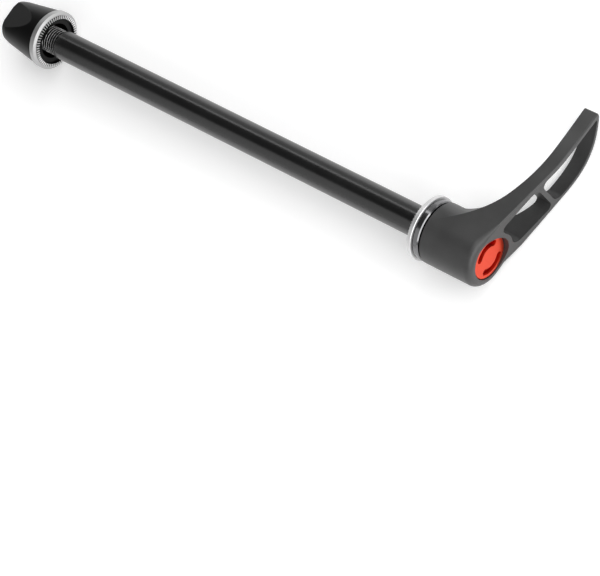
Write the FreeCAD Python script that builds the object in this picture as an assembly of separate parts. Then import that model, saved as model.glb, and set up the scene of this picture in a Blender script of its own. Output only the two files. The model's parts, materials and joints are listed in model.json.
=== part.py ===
import FreeCAD, Part
import math
import os

# Rear thru axle with a ratchet lever, millimetres.
# X runs along the axle from the nut to the lever and Z is up, as the part lies on a table.
# The origin is on the axle's centre line, at the tooth tips of the lever side ring.

# Axle bolt
axle_diameter = 10.0
thread_diameter = 9.0
thread_length = 15.2
thread_chamfer = 0.8
shoulder_chamfer = 0.5
clamp_length = 160.0
shoulder_before_nut = 2.9

# Toothed crowns, the same on both clamp rings
tooth_count = 60
tooth_height = 0.6
tooth_root_width = 0.12
tooth_tip_width = 0.12
crown_inner_diameter = 16.2
crown_outer_diameter = 18.6
ring_bevel_height = 0.45

# Lever side clamp ring and the slide ring in its back
washer_diameter = 21.2
washer_rim_width = 1.3
washer_edge_chamfer = 0.15
slide_ring_diameter = 16.8
slide_ring_thickness = 0.85
slide_ring_inlet = 0.75

# Drive head
collar_diameter = 19.8
collar_width = 2.1
collar_chamfer = 0.3
axle_socket_depth = 6.0
spline_count = 24
spline_outer_diameter = 13.8
spline_inner_diameter = 12.4
spline_length = 3.5
stem_diameter = 10.4
cap_thread_diameter = 6.0
cap_thread_depth = 8.0

# Lever boss
boss_diameter = 20.0
boss_length = 19.35
boss_gap = 0.5
boss_rear_chamfer = 0.4
boss_edge_radius = 2.2
bush_diameter = 15.8
web_thickness = 3.0

# Lever arm, front view
arm_reach = 52.9
arm_taper_deg = 5.05
arm_nose_start = 35.8
arm_tip_radius = 1.1

# Lever arm, side view
arm_rise_deg = 14.5
arm_rise_start = 0.7
arm_bend_start = 28.8
arm_foot_radius = 24.0
arm_bend_radius = 48.6
arm_thickness = 4.7
arm_flare_radius = 20.0
arm_edge_chamfer = 0.3
arm_edge_run = 5.0

# Windows in the arm
window_band = 1.4
window_hub_band = 3.0
window_wall = 1.4
window_ledge_depth = 8.0
window_rib_start = 23.4
window_rib_width = 1.5
window_corner_radius = 2.4
window_tip_radius = 0.5

# Retaining cap
cap_diameter = 14.2
cap_thickness = 3.0
cap_recess = 0.3
cap_edge_chamfer = 0.25
cap_slot_diameter = 9.6
cap_slot_width = 2.1
cap_slot_depth = 1.2
cap_slot_span_deg = 95.0
cap_slot_turn_deg = 22.0

# Return spring
spring_wire = 1.0
spring_turns = 3
spring_steps = 16
spring_diameter = 12.6

# Nut
nut_ring_diameter = 20.5
nut_ring_rim_width = 1.7
nut_spigot_diameter = 15.8
nut_spigot_recess = 0.4
nut_base_diameter = 19.8
nut_base_width = 0.9
nut_end_diameter = 15.8
nut_length = 17.4
nut_end_chamfer = 1.9
nut_flat_count = 2
nut_flat_turn_deg = 78.0
nut_flat_end_width = 10.6
nut_flat_start = 2.6
nut_counterbore_diameter = 12.4
nut_counterbore_depth = 5.4
nut_end_wall = 1.6

# Clearances
running_gap = 0.05
bonded_gap = 0.01
cap_gap = 0.1
spline_gap = 0.06
spring_gap = 0.1
thread_gap = 0.04

origin = FreeCAD.Vector(0, 0, 0)
x_axis = FreeCAD.Vector(1, 0, 0)


def revolved(points):
    # Turns a closed profile of (x, radius) points about the axle's centre line.
    corners = [FreeCAD.Vector(x, r, 0) for x, r in points]
    face = Part.Face(Part.makePolygon(corners + corners[:1]))
    return face.revolve(origin, x_axis, 360)


def cylinder(radius, start, end):
    return Part.makeCylinder(radius, end - start, FreeCAD.Vector(start, 0, 0), x_axis)


def around(angle_deg, shape):
    turned = shape.copy()
    turned.rotate(origin, x_axis, angle_deg)
    return turned


def arc_edge(first, middle, last):
    return Part.Arc(first, middle, last).toShape()


def profile_arc(centre_x, centre_y, radius, first, last):
    # An arc of a side view profile, between two angles in radians.
    points = []
    for angle in (first, (first + last) / 2, last):
        x = centre_x + radius * math.cos(angle)
        y = centre_y + radius * math.sin(angle)
        points.append(FreeCAD.Vector(x, y, 0))
    return arc_edge(*points)


def profile_line(first, last):
    return Part.makeLine(FreeCAD.Vector(*first, 0), FreeCAD.Vector(*last, 0))


def toothed_ring(ring, root_x, facing):
    # Stands a crown of straight teeth on the flat face of a ring; they point along facing.
    inner = crown_inner_diameter / 2
    foot = math.pi * inner / tooth_count - tooth_root_width / 2
    tip = tooth_tip_width / 2
    length = crown_outer_diameter / 2 - tooth_root_width - inner
    corners = []
    for rise, side in ((-0.5, -foot), (0, -foot), (1, -tip), (1, tip), (0, foot), (-0.5, foot)):
        corners.append(FreeCAD.Vector(root_x + facing * rise * tooth_height, inner, side))
    tooth = Part.Face(Part.makePolygon(corners + corners[:1])).extrude(FreeCAD.Vector(0, length, 0))
    step = 360 / tooth_count
    return ring.multiFuse([around(i * step, tooth) for i in range(tooth_count)])


def spline_prism(growth, start, end):
    # A straight toothed drum, grown outwards all round for the socket that fits it.
    outer = spline_outer_diameter / 2 + growth
    inner = spline_inner_diameter / 2 + growth
    step = 2 * math.pi / spline_count
    side = growth / outer
    corners = []
    for i in range(spline_count):
        middle = i * step
        for radius, share in ((inner, -0.34), (outer, -0.16), (outer, 0.16), (inner, 0.34)):
            angle = middle + share * step + math.copysign(side, share)
            corners.append(FreeCAD.Vector(start, radius * math.cos(angle), radius * math.sin(angle)))
    face = Part.Face(Part.makePolygon(corners + corners[:1]))
    return face.extrude(FreeCAD.Vector(end - start, 0, 0))


# Stations along the axle that the pieces share
washer_base_x = tooth_height + ring_bevel_height
washer_back_x = washer_base_x + washer_rim_width
slide_front_x = washer_back_x - slide_ring_inlet
collar_x = slide_front_x + slide_ring_thickness
drum_x = collar_x + collar_width
boss_x = drum_x + boss_gap
drum_end_x = boss_x + spline_length
web_x = drum_end_x + running_gap
cavity_x = web_x + web_thickness
face_x = boss_x + boss_length
cap_face_x = face_x - cap_recess
cap_x = cap_face_x - cap_thickness
nut_tip_x = -clamp_length
nut_root_x = nut_tip_x - tooth_height
nut_rim_x = nut_root_x - ring_bevel_height
nut_base_x = nut_rim_x - nut_ring_rim_width
nut_end_x = nut_base_x - nut_length
shoulder_x = nut_tip_x + shoulder_before_nut
axle_radius = axle_diameter / 2


def make_axle():
    thread_radius = thread_diameter / 2
    end_x = shoulder_x - thread_length
    socket_end_x = collar_x + axle_socket_depth
    return revolved([
        (end_x, 0),
        (end_x, thread_radius - thread_chamfer),
        (end_x + thread_chamfer, thread_radius),
        (shoulder_x, thread_radius),
        (shoulder_x, axle_radius - min(shoulder_chamfer, (axle_diameter - thread_diameter) / 4)),
        (shoulder_x + shoulder_chamfer, axle_radius),
        (socket_end_x, axle_radius),
        (socket_end_x, 0),
    ])


def make_lever_clamp_ring():
    bore = axle_radius + running_gap * 2
    crown = crown_outer_diameter / 2
    rim = washer_diameter / 2
    inlet = slide_ring_diameter / 2 + running_gap * 2
    inlet_x = slide_front_x - running_gap
    ring = revolved([
        (tooth_height, bore),
        (tooth_height, crown),
        (washer_base_x, rim),
        (washer_back_x - washer_edge_chamfer, rim),
        (washer_back_x, rim - washer_edge_chamfer),
        (washer_back_x, inlet),
        (inlet_x, inlet),
        (inlet_x, bore),
    ])
    return toothed_ring(ring, tooth_height, -1)


def make_slide_ring():
    bore = axle_radius + running_gap * 2
    return cylinder(slide_ring_diameter / 2, slide_front_x, collar_x).cut(
        cylinder(bore, slide_front_x, collar_x))


def make_drive_head():
    collar = collar_diameter / 2
    stem = stem_diameter / 2
    socket_end_x = collar_x + axle_socket_depth + bonded_gap
    flange = revolved([
        (collar_x, 0),
        (collar_x, collar - collar_chamfer),
        (collar_x + collar_chamfer, collar),
        (drum_x - collar_chamfer, collar),
        (drum_x, collar - collar_chamfer),
        (drum_x, 0),
    ])
    head = flange.fuse(spline_prism(0, drum_x, drum_end_x)).fuse(cylinder(stem, drum_end_x, cap_x))
    socket = cylinder(axle_radius + bonded_gap, collar_x, socket_end_x)
    tapped = cylinder(cap_thread_diameter / 2 + bonded_gap, cap_x - cap_thread_depth, cap_x)
    return head.cut(socket).cut(tapped)


def make_cap():
    cap = cap_diameter / 2
    spigot = cap_thread_diameter / 2
    spigot_x = cap_x - cap_thread_depth + bonded_gap
    body = revolved([
        (spigot_x, 0),
        (spigot_x, spigot),
        (cap_x, spigot),
        (cap_x, cap),
        (cap_face_x - cap_edge_chamfer, cap),
        (cap_face_x, cap - cap_edge_chamfer),
        (cap_face_x, 0),
    ])
    middle = cap_slot_diameter / 2
    half = cap_slot_width / 2
    floor_x = cap_face_x - cap_slot_depth
    sector = FreeCAD.Vector(floor_x, middle - half, 0)
    strip = Part.makePolygon([
        sector,
        FreeCAD.Vector(floor_x, middle + half, 0),
        FreeCAD.Vector(cap_face_x, middle + half, 0),
        FreeCAD.Vector(cap_face_x, middle - half, 0),
        sector,
    ])
    slot = Part.Face(strip).revolve(origin, x_axis, cap_slot_span_deg)
    for angle in (0, cap_slot_span_deg):
        end = Part.makeCylinder(half, cap_slot_depth, FreeCAD.Vector(floor_x, middle, 0), x_axis)
        slot = slot.fuse(around(angle, end))
    slot = around(cap_slot_turn_deg, slot)
    return body.cut(slot).cut(around(180, slot))


def arm_nose():
    # Radius and centre of the nose arc, which runs from the tapered side into the round tip.
    taper = math.radians(arm_taper_deg)
    start_z = (boss_diameter / 2 - arm_nose_start * math.sin(taper)) / math.cos(taper)
    run = arm_nose_start - (arm_reach - arm_tip_radius)
    lean = run * math.sin(taper) + start_z * math.cos(taper)
    radius = (run ** 2 + start_z ** 2 - arm_tip_radius ** 2) / (2 * (lean - arm_tip_radius))
    return radius, arm_nose_start - radius * math.sin(taper), start_z - radius * math.cos(taper)


def mirrored(edges):
    # Adds the other half of a front view that is drawn on its upper side.
    return edges + [edge.mirror(origin, FreeCAD.Vector(0, 0, 1)) for edge in edges]


def front_arc(centre_y, centre_z, radius, first, last):
    # An arc of a front view, between two angles in radians.
    points = []
    for angle in (first, (first + last) / 2, last):
        y = centre_y + radius * math.cos(angle)
        z = centre_z + radius * math.sin(angle)
        points.append(FreeCAD.Vector(0, y, z))
    return arc_edge(*points)


def front_prism(edges, start, end):
    # Extrudes the upper half of a front view, with its mirror image, from one station to another.
    wire = Part.Wire(Part.__sortEdges__(mirrored(edges)))
    prism = Part.Face(wire).extrude(FreeCAD.Vector(end - start, 0, 0))
    prism.translate(FreeCAD.Vector(start, 0, 0))
    return prism


def side_point(inset, y):
    # A point on the tapered side of the arm, set in from its outline.
    taper = math.radians(arm_taper_deg)
    return FreeCAD.Vector(0, y, (boss_diameter / 2 - inset - y * math.sin(taper)) / math.cos(taper))


def side_line(inset, first_y, last_y):
    return Part.makeLine(side_point(inset, first_y), side_point(inset, last_y))


def arm_prism(start, end):
    # Front view of the lever: the boss, tapered sides, a long nose curve and a round tip.
    taper = math.radians(arm_taper_deg)
    boss = boss_diameter / 2
    nose, nose_y, nose_z = arm_nose()
    tip_y = arm_reach - arm_tip_radius
    tip_angle = math.atan2(-nose_z, tip_y - nose_y)
    return front_prism([
        front_arc(0, 0, boss, math.pi, math.pi / 2 - taper),
        side_line(0, boss * math.sin(taper), arm_nose_start),
        front_arc(nose_y, nose_z, nose, math.pi / 2 - taper, tip_angle),
        front_arc(tip_y, 0, arm_tip_radius, tip_angle, 0),
    ], start, end)


def arm_bend():
    # The rising outer face runs tangent into the bend, whose centre lies on the nut side.
    rise = math.radians(arm_rise_deg)
    bend_x = face_x + (arm_bend_start - arm_rise_start) * math.tan(rise)
    centre_x = bend_x - arm_bend_radius * math.cos(rise)
    centre_y = arm_bend_start + arm_bend_radius * math.sin(rise)
    return bend_x, centre_x, centre_y


def arm_foot_end():
    # Where the foot of the rise has reached the slope of the arm, and where the edges have eased off.
    rise = math.radians(arm_rise_deg)
    foot = arm_foot_radius * math.tan(rise / 2)
    foot_y = arm_rise_start + foot * math.cos(rise)
    return foot, foot_y, foot_y + arm_edge_run


def arm_outer_slab():
    # Side view of the outer face: flat on the boss, a rising foot, then a bend back to the wheel.
    rise = math.radians(arm_rise_deg)
    foot, foot_y, ease_y = arm_foot_end()
    foot_low = arm_rise_start - foot
    foot_high = (face_x + foot * math.sin(rise), foot_y)
    ease = (face_x + (ease_y - arm_rise_start) * math.tan(rise), ease_y)
    bend_x, centre_x, centre_y = arm_bend()
    low_y = -boss_diameter
    high_y = arm_reach + arm_thickness
    end_angle = math.asin((high_y - centre_y) / arm_bend_radius)
    high_x = centre_x + arm_bend_radius * math.cos(end_angle)
    wire = Part.Wire([
        profile_line((boss_x, low_y), (face_x, low_y)),
        profile_line((face_x, low_y), (face_x, foot_low)),
        profile_arc(face_x + arm_foot_radius, foot_low, arm_foot_radius, math.pi, math.pi - rise),
        profile_line(foot_high, ease),
        profile_line(ease, (bend_x, arm_bend_start)),
        profile_arc(centre_x, centre_y, arm_bend_radius, -rise, end_angle),
        profile_line((high_x, high_y), (boss_x, high_y)),
        profile_line((boss_x, high_y), (boss_x, low_y)),
    ])
    slab = Part.Face(wire).extrude(FreeCAD.Vector(0, 0, 2 * boss_diameter))
    slab.translate(FreeCAD.Vector(0, 0, -boss_diameter))
    return slab


def arm_flare():
    # Back of the lever, turned about the axle: the boss flares into the inner face of the arm.
    bend_x, centre_x, centre_y = arm_bend()
    boss = boss_diameter / 2
    inner = arm_bend_radius - arm_thickness
    flare_y = boss + arm_flare_radius
    between = inner - arm_flare_radius
    flare_x = centre_x + math.sqrt(between ** 2 - (centre_y - flare_y) ** 2)
    join_angle = math.atan2(flare_y - centre_y, flare_x - centre_x)
    high_y = arm_reach + arm_thickness
    end_angle = math.asin((high_y - centre_y) / inner)
    high_x = centre_x + inner * math.cos(end_angle)
    end_x = face_x + arm_reach
    wire = Part.Wire([
        profile_line((boss_x, 0), (boss_x, boss - boss_rear_chamfer)),
        profile_line((boss_x, boss - boss_rear_chamfer), (boss_x + boss_rear_chamfer, boss)),
        profile_line((boss_x + boss_rear_chamfer, boss), (flare_x, boss)),
        profile_arc(flare_x, flare_y, arm_flare_radius, -math.pi / 2, join_angle),
        profile_arc(centre_x, centre_y, inner, join_angle, end_angle),
        profile_line((high_x, high_y), (end_x, high_y)),
        profile_line((end_x, high_y), (end_x, 0)),
        profile_line((end_x, 0), (boss_x, 0)),
    ])
    return Part.Face(wire).revolve(origin, x_axis, 360)


def outer_edges(lever):
    # The edges between the outer face of the lever and its sides.
    outer = []
    sides = []
    for face in lever.Faces:
        low_u, high_u, low_v, high_v = face.ParameterRange
        normal = face.normalAt((low_u + high_u) / 2, (low_v + high_v) / 2)
        if normal.x > 0.8:
            outer.extend(face.Edges)
        elif abs(normal.x) < 0.01:
            sides.extend(face.Edges)
    shared = [edge for edge in outer if any(edge.isSame(other) for other in sides)]
    return [edge for edge in shared if edge.BoundBox.YLength > 0.001]


def edge_radius(y):
    # The rounding is full on the boss and eases off to the size of the arm's chamfer.
    boss_end = boss_diameter / 2 * math.sin(math.radians(arm_taper_deg))
    foot, foot_y, ease_y = arm_foot_end()
    share = min(max((y - boss_end) / (ease_y - boss_end), 0), 1)
    eased = arm_edge_chamfer / (2 - math.sqrt(2))
    return boss_edge_radius + (eased - boss_edge_radius) * share


def rounded_boss(boss):
    chosen = outer_edges(boss)
    rounding = []
    for number, edge in enumerate(boss.Edges, 1):
        if any(edge.isSame(other) for other in chosen):
            first = edge_radius(edge.Vertexes[0].Point.y)
            last = edge_radius(edge.Vertexes[-1].Point.y)
            rounding.append((number, first, last))
    sheet = FreeCAD.newDocument("lever")
    blank = sheet.addObject("Part::Feature", "blank")
    blank.Shape = boss
    fillet = sheet.addObject("Part::Fillet", "rounding")
    fillet.Base = blank
    fillet.Edges = rounding
    sheet.recompute()
    shape = fillet.Shape.copy()
    FreeCAD.closeDocument(sheet.Name)
    return shape


def rounded_lever(lever):
    # The boss is rounded over, and a fine chamfer runs round the arm.
    foot, foot_y, ease_y = arm_foot_end()
    wide = 2 * arm_reach
    half = Part.makeBox(2 * wide, wide, 2 * wide, FreeCAD.Vector(-wide, ease_y, -wide))
    arm = lever.common(half)
    arm = arm.makeChamfer(arm_edge_chamfer, outer_edges(arm))
    return rounded_boss(lever.cut(half)).fuse(arm)


def lever_droop_deg():
    # The lever lies with the belly of its nose on the table, level with the foot of the washer.
    nose, nose_y, nose_z = arm_nose()
    level = (nose - washer_diameter / 2) / math.hypot(nose_y, nose_z)
    return math.degrees(math.acos(level) - math.atan2(nose_y, -nose_z))


def rounded_window(window, length):
    corners = {window_corner_radius: [], window_tip_radius: []}
    for edge in window.Edges:
        if abs(edge.BoundBox.XLength - length) < 0.001:
            first, second = window.ancestorsOfType(edge, Part.Face)
            point = edge.Vertexes[0].Point
            turn = first.normalAt(*first.Surface.parameter(point)).getAngle(
                second.normalAt(*second.Surface.parameter(point)))
            if turn > 0.3:
                radius = window_tip_radius if abs(point.z) < 0.001 else window_corner_radius
                corners[radius].append(edge)
    for radius, edges in corners.items():
        if edges:
            window = window.makeFillet(radius, edges)
    return window


def arm_windows():
    # Two windows through the arm, parted by a rib: a square one at the hub and one along the nose.
    bend_x, centre_x, centre_y = arm_bend()
    start = boss_x
    end = centre_x + arm_bend_radius + arm_thickness
    rib_end = window_rib_start + window_rib_width
    nose, nose_y, nose_z = arm_nose()
    nose -= window_band
    last_y = nose_y + math.sqrt(nose ** 2 - nose_z ** 2)
    taper = math.radians(arm_taper_deg)
    hub_y = boss_diameter / 2
    narrow = side_point(window_hub_band, hub_y)
    wide = side_point(window_band, window_rib_start)
    root = narrow - (wide - narrow) * (hub_y / (window_rib_start - hub_y))
    square = front_prism([
        Part.makeLine(origin, root),
        Part.makeLine(root, wide),
        Part.makeLine(wide, FreeCAD.Vector(0, window_rib_start, 0)),
    ], start, end)
    long = front_prism([
        Part.makeLine(FreeCAD.Vector(0, rib_end, 0), side_point(window_band, rib_end)),
        side_line(window_band, rib_end, nose_y + nose * math.sin(taper)),
        front_arc(nose_y, nose_z, nose, math.pi / 2 - taper, math.atan2(-nose_z, last_y - nose_y)),
    ], start, end)
    hub = cylinder(cap_diameter / 2 + cap_gap + window_wall, start, end)
    square = rounded_window(square.cut(hub), end - start)
    square = square.cut(cylinder(boss_diameter / 2, start, face_x - window_ledge_depth))
    return [square, rounded_window(long, end - start)]


def make_lever():
    end_x = face_x + arm_reach
    lever = arm_prism(boss_x, end_x).common(arm_outer_slab()).common(arm_flare())
    lever = rounded_lever(lever)
    lever = lever.cut(cylinder(bush_diameter / 2 + bonded_gap, boss_x, web_x))
    lever = lever.cut(cylinder(stem_diameter / 2 + cap_gap, web_x, cavity_x))
    lever = lever.cut(cylinder(cap_diameter / 2 + cap_gap, cavity_x, end_x))
    for window in arm_windows():
        lever = lever.cut(window)
    return around(-lever_droop_deg(), lever)


def make_ratchet_bush():
    blank = cylinder(bush_diameter / 2, boss_x, web_x)
    bush = blank.cut(spline_prism(spline_gap, boss_x, web_x))
    return bush


def make_return_spring():
    # A wire wound between the lever's web and the underside of the cap, in straight steps.
    start_x = cavity_x + spring_gap + spring_wire / 2
    length = cap_x - spring_gap - spring_wire / 2 - start_x
    steps = spring_turns * spring_steps
    sections = []
    for i in range(steps + 1):
        section = Part.makePolygon([
            FreeCAD.Vector(
                start_x + length * i / steps + spring_wire / 2 * math.cos(math.pi * k / 4),
                spring_diameter / 2 + spring_wire / 2 * math.sin(math.pi * k / 4),
                0)
            for k in range(9)
        ])
        sections.append(around(360 * i / spring_steps, section))
    return Part.makeLoft(sections, True, True)


def make_nut_clamp_ring():
    seat = nut_spigot_diameter / 2 + bonded_gap
    rim = nut_ring_diameter / 2
    ring = revolved([
        (nut_base_x, seat),
        (nut_base_x, rim),
        (nut_rim_x, rim),
        (nut_root_x, crown_outer_diameter / 2),
        (nut_root_x, seat),
    ])
    return toothed_ring(ring, nut_root_x, 1)


def make_nut_body():
    spigot = nut_spigot_diameter / 2
    base = nut_base_diameter / 2
    end = nut_end_diameter / 2
    cone_x = nut_base_x - nut_base_width
    spigot_x = nut_root_x - nut_spigot_recess
    body = revolved([
        (nut_end_x, 0),
        (nut_end_x, end - nut_end_chamfer),
        (nut_end_x + nut_end_chamfer / 2, end - nut_end_chamfer / 4),
        (nut_end_x + nut_end_chamfer * 1.5, end),
        (cone_x, base),
        (nut_base_x, base),
        (nut_base_x, spigot),
        (spigot_x, spigot),
        (spigot_x, 0),
    ])
    flat_x = nut_base_x - nut_flat_start
    flat = Part.Face(Part.makePolygon([
        FreeCAD.Vector(flat_x, base, -base),
        FreeCAD.Vector(nut_end_x, nut_flat_end_width / 2, -base),
        FreeCAD.Vector(nut_end_x, 2 * base, -base),
        FreeCAD.Vector(flat_x, 2 * base, -base),
        FreeCAD.Vector(flat_x, base, -base),
    ])).extrude(FreeCAD.Vector(0, 0, 2 * base))
    for i in range(nut_flat_count):
        body = body.cut(around(nut_flat_turn_deg + i * 360 / nut_flat_count, flat))
    mouth = cylinder(nut_counterbore_diameter / 2, spigot_x - nut_counterbore_depth, spigot_x)
    thread = cylinder(thread_diameter / 2 + thread_gap, nut_end_x + nut_end_wall, spigot_x)
    return body.cut(mouth).cut(thread)


pieces = {
    "axle_bolt": make_axle(),
    "drive_head": make_drive_head(),
    "slide_ring": make_slide_ring(),
    "retaining_cap": make_cap(),
    "lever_clamp_ring": make_lever_clamp_ring(),
    "lever": make_lever(),
    "ratchet_bush": make_ratchet_bush(),
    "return_spring": make_return_spring(),
    "nut_body": make_nut_body(),
    "nut_clamp_ring": make_nut_clamp_ring(),
}

os.makedirs("parts", exist_ok=True)
for name, shape in pieces.items():
    solid = shape.Solids[0]
    solid.exportStep("parts/" + name + ".step")
    print(name, len(shape.Solids), shape.isValid(), round(shape.Volume, 1))
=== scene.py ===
import json
from math import ceil, cos, hypot, pi, radians, sin

import bmesh
import bpy
from mathutils import Matrix, Vector

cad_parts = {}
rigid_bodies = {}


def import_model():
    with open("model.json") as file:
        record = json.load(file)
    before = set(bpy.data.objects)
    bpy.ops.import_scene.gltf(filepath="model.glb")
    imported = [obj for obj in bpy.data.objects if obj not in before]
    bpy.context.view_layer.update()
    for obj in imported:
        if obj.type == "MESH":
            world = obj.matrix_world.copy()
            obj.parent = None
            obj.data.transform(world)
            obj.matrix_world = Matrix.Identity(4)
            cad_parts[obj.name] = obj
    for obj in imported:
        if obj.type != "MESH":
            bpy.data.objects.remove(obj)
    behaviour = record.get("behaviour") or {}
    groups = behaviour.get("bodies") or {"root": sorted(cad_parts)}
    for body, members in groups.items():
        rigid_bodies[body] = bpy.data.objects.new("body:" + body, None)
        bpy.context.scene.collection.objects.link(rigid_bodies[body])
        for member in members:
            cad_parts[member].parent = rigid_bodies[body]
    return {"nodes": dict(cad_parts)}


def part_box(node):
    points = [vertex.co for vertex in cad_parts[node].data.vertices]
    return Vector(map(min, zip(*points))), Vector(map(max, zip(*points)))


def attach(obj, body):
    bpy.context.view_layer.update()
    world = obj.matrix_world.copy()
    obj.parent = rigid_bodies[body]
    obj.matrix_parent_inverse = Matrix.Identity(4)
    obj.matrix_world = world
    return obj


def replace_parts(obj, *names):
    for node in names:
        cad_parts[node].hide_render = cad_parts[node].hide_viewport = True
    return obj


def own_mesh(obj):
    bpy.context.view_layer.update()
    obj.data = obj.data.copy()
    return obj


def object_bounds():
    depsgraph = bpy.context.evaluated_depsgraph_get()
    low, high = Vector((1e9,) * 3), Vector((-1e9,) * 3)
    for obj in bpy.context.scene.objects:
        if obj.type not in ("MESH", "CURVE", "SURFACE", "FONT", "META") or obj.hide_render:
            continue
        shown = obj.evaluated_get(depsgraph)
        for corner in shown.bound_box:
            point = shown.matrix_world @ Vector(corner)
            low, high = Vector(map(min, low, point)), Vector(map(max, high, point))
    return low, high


for leftover in list(bpy.data.objects):  # the start-up cube, lamp and camera
    bpy.data.objects.remove(leftover)

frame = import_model()
cadLow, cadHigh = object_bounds()
nodes = frame["nodes"]
scene = bpy.context.scene
scene.view_settings.view_transform = "Standard"


class Wire:  # one output socket of a material, ready for sums
    def __init__(self, tree, socket=None):
        self.tree = tree
        self.socket = socket

    def node(self, kind, settings=None, sockets=None, output=0):
        made = self.tree.nodes.new(kind)
        for name, value in (settings or {}).items():
            setattr(made, name, value)
        for name, value in (sockets or {}).items():
            if isinstance(value, Wire):
                self.tree.links.new(value.socket, made.inputs[name])
            else:
                made.inputs[name].default_value = value
        return Wire(self.tree, made.outputs[output] if made.outputs else None)

    def sum(self, operation, first, second):
        return self.node("ShaderNodeMath", {"operation": operation}, {0: first, 1: second})

    def __add__(self, other):
        return self.sum("ADD", self, other)

    def __radd__(self, other):
        return self.sum("ADD", other, self)

    def __sub__(self, other):
        return self.sum("SUBTRACT", self, other)

    def __rsub__(self, other):
        return self.sum("SUBTRACT", other, self)

    def __mul__(self, other):
        return self.sum("MULTIPLY", self, other)

    def __rmul__(self, other):
        return self.sum("MULTIPLY", other, self)

    def __pow__(self, other):
        return self.sum("POWER", self, other)

    def ramp(self, low, high):  # 0 below low, 1 above high, eased between
        return self.node(
            "ShaderNodeMapRange",
            {"interpolation_type": "SMOOTHSTEP"},
            {"Value": self, "From Min": low, "From Max": high},
        )

    def tint(self, first, second):  # first where this is 0, second where it is 1
        return self.node(
            "ShaderNodeMix",
            {"data_type": "RGBA"},
            {"Factor": self, 6: first, 7: second},
            output=2,
        )


def grey(level):
    return (level, level, level, 1.0)


def newFinish(name, paint):
    finish = bpy.data.materials.new(name)
    finish.use_nodes = True
    finish.node_tree.nodes.clear()
    bench = Wire(finish.node_tree)
    place = bench.node("ShaderNodeTexCoord", output="Object")
    surface = paint(bench, place)
    bench.node("ShaderNodeOutputMaterial", sockets={"Surface": surface})
    return finish


def coat(bench, sockets):
    return bench.node("ShaderNodeBsdfPrincipled", sockets=sockets)


def along(place, axis):
    return place.node("ShaderNodeSeparateXYZ", sockets={"Vector": place}, output=axis)


def fromAxis(place):  # distance from the axle's centre line
    across, upward = along(place, "Y"), along(place, "Z")
    return (across * across + upward * upward) ** 0.5


def grain(place, size, detail=2.0):
    return place.node(
        "ShaderNodeTexNoise",
        {"noise_dimensions": "3D"},
        {"Vector": place, "Scale": 1.0 / size, "Detail": detail},
        output="Fac",
    )


def turningLines(place, width, detail=3.0):  # the fine rings a lathe tool leaves
    across = (along(place, "X") + fromAxis(place)) * (1.0 / width)
    return place.node(
        "ShaderNodeTexNoise",
        {"noise_dimensions": "1D"},
        {"W": across, "Scale": 1.0, "Detail": detail},
        output="Fac",
    )


def relief(height, depth):
    return height.node("ShaderNodeBump", sockets={"Height": height, "Distance": depth})


# satin black axle bar
axleFinish = {
    "black": grey(0.002),
    "worn": grey(0.004),
    "cloud": 0.012,
    "wornShare": (0.35, 0.75),
    "lines": 0.00025,
    "lineDepth": 0.0000004,
    "roughness": 0.21,
    "lineRough": 0.03,
    "cloudRough": 0.03,
    "shine": 0.8,
}


def paintAxle(bench, place):
    look = axleFinish
    lines = turningLines(place, look["lines"])
    cloud = grain(place, look["cloud"])
    rough = look["roughness"] + look["lineRough"] * lines + look["cloudRough"] * cloud
    return coat(bench, {
        "Base Color": cloud.ramp(*look["wornShare"]).tint(look["black"], look["worn"]),
        "Roughness": rough,
        "Normal": relief(lines, look["lineDepth"]),
        "Specular IOR Level": look["shine"],
    })


# black thread with its crests rubbed bright in patches
threadFinish = {
    "black": grey(0.002),
    "crest": grey(0.68),
    "rubbed": (0.00437, 0.00449),
    "patch": 0.0008,
    "patchShare": (0.25, 0.6),
    "crestMetal": 0.9,
    "roughness": 0.32,
    "crestPolish": 0.08,
    "shine": 0.12,
}


def paintThread(bench, place):
    look = threadFinish
    crest = fromAxis(place).ramp(*look["rubbed"])
    rub = crest * grain(place, look["patch"]).ramp(*look["patchShare"])
    return coat(bench, {
        "Base Color": rub.tint(look["black"], look["crest"]),
        "Metallic": look["crestMetal"] * rub,
        "Roughness": look["roughness"] - look["crestPolish"] * rub,
        "Specular IOR Level": look["shine"],
    })


# black forged lever, bead blasted and anodised
leverFinish = {
    "dark": grey(0.036),
    "pale": grey(0.044),
    "cloud": 0.009,
    "paleShare": (0.3, 0.7),
    "bead": 0.00011,
    "beadDetail": 1.0,
    "beadDepth": 0.000006,
    "roughness": 0.36,
    "cloudRough": 0.08,
    "shine": 0.40,
}


def paintLever(bench, place):
    look = leverFinish
    bead = grain(place, look["bead"], look["beadDetail"])
    cloud = grain(place, look["cloud"])
    return coat(bench, {
        "Base Color": cloud.ramp(*look["paleShare"]).tint(look["dark"], look["pale"]),
        "Roughness": look["roughness"] + look["cloudRough"] * cloud,
        "Normal": relief(bead, look["beadDepth"]),
        "Specular IOR Level": look["shine"],
    })


# black anodised nut: lathe rings on the cone, and the two milled flats painted paler than the cone
# as a painted sheen for the light they catch
nutFinish = {
    "dark": grey(0.002),
    "pale": grey(0.004),
    "cloud": 0.006,
    "paleShare": (0.3, 0.7),
    # painted sheen: the paler black of the two flats
    "flat": grey(0.017),
    "flatTurn": 78.0,
    "flatHeights": (0.0053, 0.0099),  # from the axis, at the nut's end and at the flat's start
    "flatLength": 0.0148,
    "flatEdge": (-0.00008, -0.00002),
    "lines": 0.0003,
    "lineDepth": 0.0000015,
    "roughness": 0.29,
    "lineRough": 0.05,
    "cloudRough": 0.05,
    "shine": 0.16,
}


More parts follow.
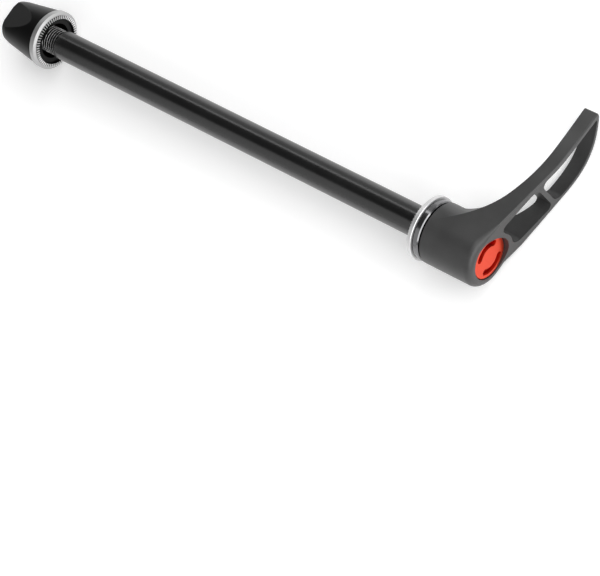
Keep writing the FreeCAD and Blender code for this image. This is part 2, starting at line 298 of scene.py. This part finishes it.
def onNutFlat(place):  # 1 on the flats, where the painted sheen goes, from each one's sloping plane
    turn = radians(nutFinish["flatTurn"])
    endHeight, startHeight = nutFinish["flatHeights"]
    slope = (startHeight - endHeight) / nutFinish["flatLength"]
    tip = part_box("nut_body")[0].x
    out = along(place, "Y") * cos(turn) + along(place, "Z") * sin(turn)
    plane = endHeight + slope * (along(place, "X") - tip)
    return ((out * out) ** 0.5 - plane).ramp(*nutFinish["flatEdge"])


def paintNut(bench, place):
    look = nutFinish
    flat = onNutFlat(place)
    lines = turningLines(place, look["lines"]) * (1 - flat)
    cloud = grain(place, look["cloud"])
    black = cloud.ramp(*look["paleShare"]).tint(look["dark"], look["pale"])
    rough = look["roughness"] + look["lineRough"] * lines + look["cloudRough"] * cloud
    return coat(bench, {
        # the flats take their painted sheen here
        "Base Color": flat.tint(black, look["flat"]),
        "Roughness": rough,
        "Normal": relief(lines, look["lineDepth"]),
        "Specular IOR Level": look["shine"],
    })


# bright turned steel of the two toothed rings, with a painted highlight on the tooth tips and
# painted shade towards the roots and between the teeth
ringFinish = {
    # the nut ring's rim is painted darker than the lever ring's, as painted shade
    "leverRim": grey(0.72),
    "nutRim": grey(0.48),
    # painted highlight on the tooth tips
    "tip": grey(0.92),
    # painted shade between the teeth
    "paintedGapShade": grey(0.008),
    "gapReach": (0.0089, 0.0093),
    "gapShare": (0.1, 0.7),  # of the tooth's height, from its tip
    "leverTipX": 0.0,
    "nutTipX": -0.160,
    "toothHeight": 0.0006,
    "lines": 0.00022,
    "lineDepth": 0.000002,
    "roughness": 0.44,
    "lineRough": 0.08,
}


def paintRing(rim, tip, facing):
    look = ringFinish
    shallow, deep = (look[tip] + facing * look["toothHeight"] * share for share in look["gapShare"])

    def paint(bench, place):
        lines = turningLines(place, look["lines"])
        # painted highlight at the tooth tips, painted shade darker towards the roots and between
        # the teeth
        depth = along(place, "X").ramp(shallow, deep)
        paintedGapShade = depth * (1 - fromAxis(place).ramp(*look["gapReach"]))
        steel = depth.tint(look["tip"], look[rim])
        return coat(bench, {
            "Base Color": paintedGapShade.tint(steel, look["paintedGapShade"]),
            "Metallic": 1.0,
            "Roughness": look["roughness"] + look["lineRough"] * lines,
            "Normal": relief(lines, look["lineDepth"]),
        })

    return paint


# polished collar and drum
collarFinish = {
    "steel": (0.19, 0.19, 0.195, 1.0),
    "lines": 0.0002,
    "lineDepth": 0.0000012,
    "roughness": 0.13,
    "lineRough": 0.07,
}


def paintCollar(bench, place):
    look = collarFinish
    lines = turningLines(place, look["lines"])
    return coat(bench, {
        "Base Color": look["steel"],
        "Metallic": 1.0,
        "Roughness": look["roughness"] + look["lineRough"] * lines,
        "Normal": relief(lines, look["lineDepth"]),
    })


# red anodised cap, with painted shade darker down in the slots
capFinish = {
    "red": (0.72, 0.062, 0.022, 1.0),
    # painted shade deep in the slots
    "slot": (0.40, 0.006, 0.002, 1.0),
    "faceX": 0.0241,
    "slotDrop": (0.0003, 0.00108),
    "metal": 0.9,
    "lines": 0.0002,
    "lineDepth": 0.0000015,
    "roughness": 0.33,
    "lineRough": 0.08,
}


def paintCap(bench, place):
    look = capFinish
    lines = turningLines(place, look["lines"])
    drop = look["faceX"] - along(place, "X")
    return coat(bench, {
        # painted shade by depth below the cap's face
        "Base Color": drop.ramp(*look["slotDrop"]).tint(look["red"], look["slot"]),
        "Metallic": look["metal"],
        "Roughness": look["roughness"] + look["lineRough"] * lines,
        "Normal": relief(lines, look["lineDepth"]),
    })


# grey moulded thrust ring
slideFinish = {
    "grey": grey(0.055),
    "pale": grey(0.075),
    "cloud": 0.0004,
    "cloudDepth": 0.000004,
    "roughness": 0.5,
    "cloudRough": 0.1,
}


def paintSlide(bench, place):
    look = slideFinish
    cloud = grain(place, look["cloud"])
    return coat(bench, {
        "Base Color": cloud.tint(look["grey"], look["pale"]),
        "Roughness": look["roughness"] + look["cloudRough"] * cloud,
        "Normal": relief(cloud, look["cloudDepth"]),
    })


# hardened bush
bushFinish = {
    "steel": grey(0.16),
    "cloud": 0.0005,
    "cloudDepth": 0.000003,
    "roughness": 0.36,
    "cloudRough": 0.12,
}

# drawn spring wire
wireFinish = {
    "steel": grey(0.42),
    "cloud": 0.0003,
    "cloudDepth": 0.000003,
    "roughness": 0.28,
    "cloudRough": 0.12,
}


def paintSteel(look):
    def paint(bench, place):
        cloud = grain(place, look["cloud"])
        return coat(bench, {
            "Base Color": look["steel"],
            "Metallic": 1.0,
            "Roughness": look["roughness"] + look["cloudRough"] * cloud,
            "Normal": relief(cloud, look["cloudDepth"]),
        })

    return paint


nodeFinishes = {
    "drive_head": newFinish("polishedSteel", paintCollar),
    "slide_ring": newFinish("mouldedGrey", paintSlide),
    "lever_clamp_ring": newFinish("toothedSteel", paintRing("leverRim", "leverTipX", 1)),
    "nut_clamp_ring": newFinish("nutRingSteel", paintRing("nutRim", "nutTipX", -1)),
    "lever": newFinish("blastedBlack", paintLever),
    "ratchet_bush": newFinish("hardSteel", paintSteel(bushFinish)),
    "retaining_cap": newFinish("anodisedRed", paintCap),
    "nut_body": newFinish("turnedBlack", paintNut),
}
for name, finish in nodeFinishes.items():
    nodes[name].data.materials.clear()
    nodes[name].data.materials.append(finish)
print("finishes:", len(nodeFinishes))


def meshPiece(name, work, body, finishes, crease=32.0):
    mesh = bpy.data.meshes.new(name)
    work.to_mesh(mesh)
    work.free()
    for face in mesh.polygons:
        face.use_smooth = True
    mesh.set_sharp_from_angle(angle=radians(crease))
    for finish in finishes:
        mesh.materials.append(finish)
    piece = bpy.data.objects.new(name, mesh)
    scene.collection.objects.link(piece)
    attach(piece, body)
    print("piece:", name, len(mesh.polygons), "faces")
    return piece


def outline(work, points):  # open outline of a turned shape, from (x, radius)
    verts = [work.verts.new((x, 0.0, radius)) for x, radius in points]
    return verts + [work.edges.new(pair) for pair in zip(verts, verts[1:])]


def spinAround(work, geom, turns, steps, climb=0.0, merge=False):  # about the axle's line
    bmesh.ops.spin(
        work,
        geom=geom,
        cent=(0, 0, 0),
        axis=(1, 0, 0),
        dvec=(climb, 0, 0),
        angle=2 * pi * turns,
        steps=steps,
        use_merge=merge,
    )


def closeEnds(work):
    rims = [edge for edge in work.edges if edge.is_boundary]
    bmesh.ops.holes_fill(work, edges=rims, sides=0)


# axle bar with its rolled thread
threadedAxle = {
    "sides": 96,
    "shoulder": -0.1571,
    "shoulderChamfer": 0.0005,
    "headChamfer": 0.0003,
    "barWeld": 0.000002,
    "threadRadius": 0.0045,
    "rootRadius": 0.00391,
    "pitch": 0.001,
    "rootShare": 0.25,
    "crestShares": (0.5625, 0.6875),
    "leadIn": 0.0008,
    "stepsPerTurn": 48,
    "spareTurns": 2,
    "bedShare": 0.25,
    "threadWeld": 0.000004,
}


def makeThread(low):
    size = threadedAxle
    shoulder, pitch, steps = size["shoulder"], size["pitch"], size["stepsPerTurn"]
    root, crest = size["rootRadius"], size["threadRadius"]
    crestStart, crestEnd = size["crestShares"]
    turns = ceil((shoulder - low.x) / pitch) + size["spareTurns"]
    rib = [  # one pitch: root, flank, crest, flank
        (0.0, root),
        (size["rootShare"], root),
        (crestStart, crest),
        (crestEnd, crest),
        (1.0, root),
    ]
    thread = bmesh.new()
    geom = outline(thread, [(shoulder + (1 - share) * pitch, radius) for share, radius in rib])
    spinAround(thread, geom, -turns, steps * turns, climb=-pitch / steps)  # right-handed
    bmesh.ops.remove_doubles(thread, verts=thread.verts, dist=size["threadWeld"])
    for cutX, keep in ((shoulder + size["bedShare"] * pitch, -1), (low.x, 1)):
        bmesh.ops.bisect_plane(
            thread,
            geom=thread.verts[:] + thread.edges[:] + thread.faces[:],
            plane_co=(cutX, 0, 0),
            plane_no=(keep, 0, 0),
            clear_inner=True,
        )
    closeEnds(thread)
    for vert in thread.verts:  # lead-in cone at the thread's end
        reach = crest - size["leadIn"] + (vert.co.x - low.x)
        out = hypot(vert.co.y, vert.co.z)
        if out > reach:
            vert.co.yz = vert.co.yz * (reach / out)
    bmesh.ops.recalc_face_normals(thread, faces=thread.faces)
    for face in thread.faces:
        face.material_index = 1
    mesh = bpy.data.meshes.new("threadTurns")
    thread.to_mesh(mesh)
    thread.free()
    return mesh


def makeThreadedAxle():
    size = threadedAxle
    low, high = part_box("axle_bolt")
    bar = high.y
    shoulder, chamfer = size["shoulder"], size["shoulderChamfer"]
    headChamfer = size["headChamfer"]
    thread = makeThread(low)
    work = bmesh.new()
    barOutline = [
        (shoulder, 0.0),
        (shoulder, bar - chamfer),
        (shoulder + chamfer, bar),
        (high.x - headChamfer, bar),
        (high.x, bar - headChamfer),
        (high.x, 0.0),
    ]
    spinAround(work, outline(work, barOutline), 1, size["sides"], merge=True)
    bmesh.ops.remove_doubles(work, verts=work.verts, dist=size["barWeld"])
    bmesh.ops.recalc_face_normals(work, faces=work.faces)
    work.from_mesh(thread)
    bpy.data.meshes.remove(thread)
    finishes = [newFinish("satinBlack", paintAxle), newFinish("rolledThread", paintThread)]
    return meshPiece("threaded_axle", work, "axle", finishes)


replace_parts(makeThreadedAxle(), "axle_bolt")


# coil spring in the boss
coilSpring = {"wire": 0.001, "turns": 3, "stepsPerTurn": 40, "sides": 14, "pull": 0.0045}


def makeCoilSpring():
    size = coilSpring
    low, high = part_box("return_spring")
    wire = size["wire"] / 2
    steps = size["turns"] * size["stepsPerTurn"]
    work = bmesh.new()
    bmesh.ops.create_circle(
        work,
        segments=size["sides"],
        radius=wire,
        matrix=Matrix.Translation((low.x + wire, high.y - wire, 0.0)),
    )
    climb = (high.x - low.x - 2 * wire) / steps
    spinAround(work, work.verts[:] + work.edges[:], size["turns"], steps, climb)
    closeEnds(work)
    bmesh.ops.recalc_face_normals(work, faces=work.faces)
    finishes = [newFinish("springWire", paintSteel(wireFinish))]
    piece = meshPiece("coil_spring", work, "spring", finishes)
    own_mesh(piece)
    return piece


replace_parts(makeCoilSpring(), "return_spring")


# pale table under the part, white to the camera and keeping the shadow
table = {"span": 6.0, "middleX": -0.07, "pale": grey(0.86), "lift": 0.28}


def paintTable(bench, place):
    rays = ("Is Camera Ray", "Is Glossy Ray", "Is Transmission Ray")
    seen, mirrored, through = (bench.node("ShaderNodeLightPath", output=ray) for ray in rays)
    pale = bench.node("ShaderNodeBsdfDiffuse", sockets={"Color": table["pale"]})
    glow = bench.node("ShaderNodeEmission", sockets={"Strength": table["lift"]})
    lifted = bench.node("ShaderNodeAddShader", sockets={0: pale, 1: glow})
    share = seen + mirrored + through
    return bench.node("ShaderNodeMixShader", sockets={0: share, 1: pale, 2: lifted})


def makeTable():
    work = bmesh.new()
    bmesh.ops.create_grid(
        work,
        x_segments=2,
        y_segments=2,
        size=table["span"] / 2,
        matrix=Matrix.Translation((table["middleX"], 0.0, cadLow.z)),
    )
    mesh = bpy.data.meshes.new("table")
    work.to_mesh(mesh)
    work.free()
    piece = bpy.data.objects.new("table", mesh)
    scene.collection.objects.link(piece)
    mesh.materials.append(newFinish("paleTable", paintTable))


makeTable()
print("table:", table["span"], "m wide")


# soft boxes: place, aim, width, height, watts
softBoxes = {
    "leftBox": ((-0.40, -0.69, 0.50), (-0.40, 0.0, 0.0), 1.0, 1.15, 2.6),
    "rightBox": ((-0.40, 0.777, 0.346), (-0.40, 0.0, 0.0), 1.0, 0.757, 1.0),
    "rightStrip": ((-0.40, 0.611, 0.590), (-0.40, 0.0, 0.0), 1.0, 0.12, 0.75),
    "topBox": ((0.35, 0.55, 0.85), (0.0, 0.0, 0.0), 1.4, 1.4, 10.0),
    "frontBox": ((0.85, -0.10, 0.40), (0.0, 0.0, 0.0), 1.4, 0.75, 10.5),
}


def makeSoftBoxes():
    for name, (place, aim, width, height, watts) in softBoxes.items():
        lamp = bpy.data.lights.new(name, "AREA")
        lamp.shape = "RECTANGLE"
        lamp.size, lamp.size_y = width, height
        lamp.energy = watts
        box = bpy.data.objects.new(name, lamp)
        box.location = place
        box.rotation_mode = "QUATERNION"
        box.rotation_quaternion = (Vector(aim) - Vector(place)).to_track_quat("-Z", "Y")
        scene.collection.objects.link(box)


# dim grey studio walls under a darker ceiling
studio = {"wall": grey(0.30), "ceiling": grey(0.10), "wallTop": 0.02, "ceilingEdge": 0.30}


def makeStudio():
    world = bpy.data.worlds.new("studio")
    world.use_nodes = True
    world.node_tree.nodes.clear()
    bench = Wire(world.node_tree)
    place = bench.node("ShaderNodeTexCoord", output="Generated")
    climb = along(place, "Z").ramp(studio["wallTop"], studio["ceilingEdge"])
    walls = climb.tint(studio["wall"], studio["ceiling"])
    room = bench.node("ShaderNodeBackground", sockets={"Color": walls, "Strength": 1.0})
    bench.node("ShaderNodeOutputWorld", sockets={"Surface": room})
    scene.world = world


makeSoftBoxes()
makeStudio()
print("light:", len(softBoxes), "soft boxes")


# the photograph's view
photoView = {
    "place": (0.3539, -0.0128, 0.6214),
    "right": (0.74976, 0.45665, -0.47889),
    "up": (-0.40260, 0.88915, 0.21754),
    "lens": 141.96,
    "sensor": 36.0,
    "clip": (0.01, 20.0),
}


def makeCamera():
    right, up = Vector(photoView["right"]), Vector(photoView["up"])
    stand = Matrix((right, up, right.cross(up))).transposed().to_4x4()
    stand.translation = photoView["place"]
    lens = bpy.data.cameras.new("photoView")
    lens.lens = photoView["lens"]
    lens.sensor_width = photoView["sensor"]
    lens.clip_start, lens.clip_end = photoView["clip"]
    camera = bpy.data.objects.new("photoView", lens)
    camera.matrix_world = stand
    scene.collection.objects.link(camera)
    scene.camera = camera


makeCamera()
print("camera:", photoView["lens"], "mm lens")
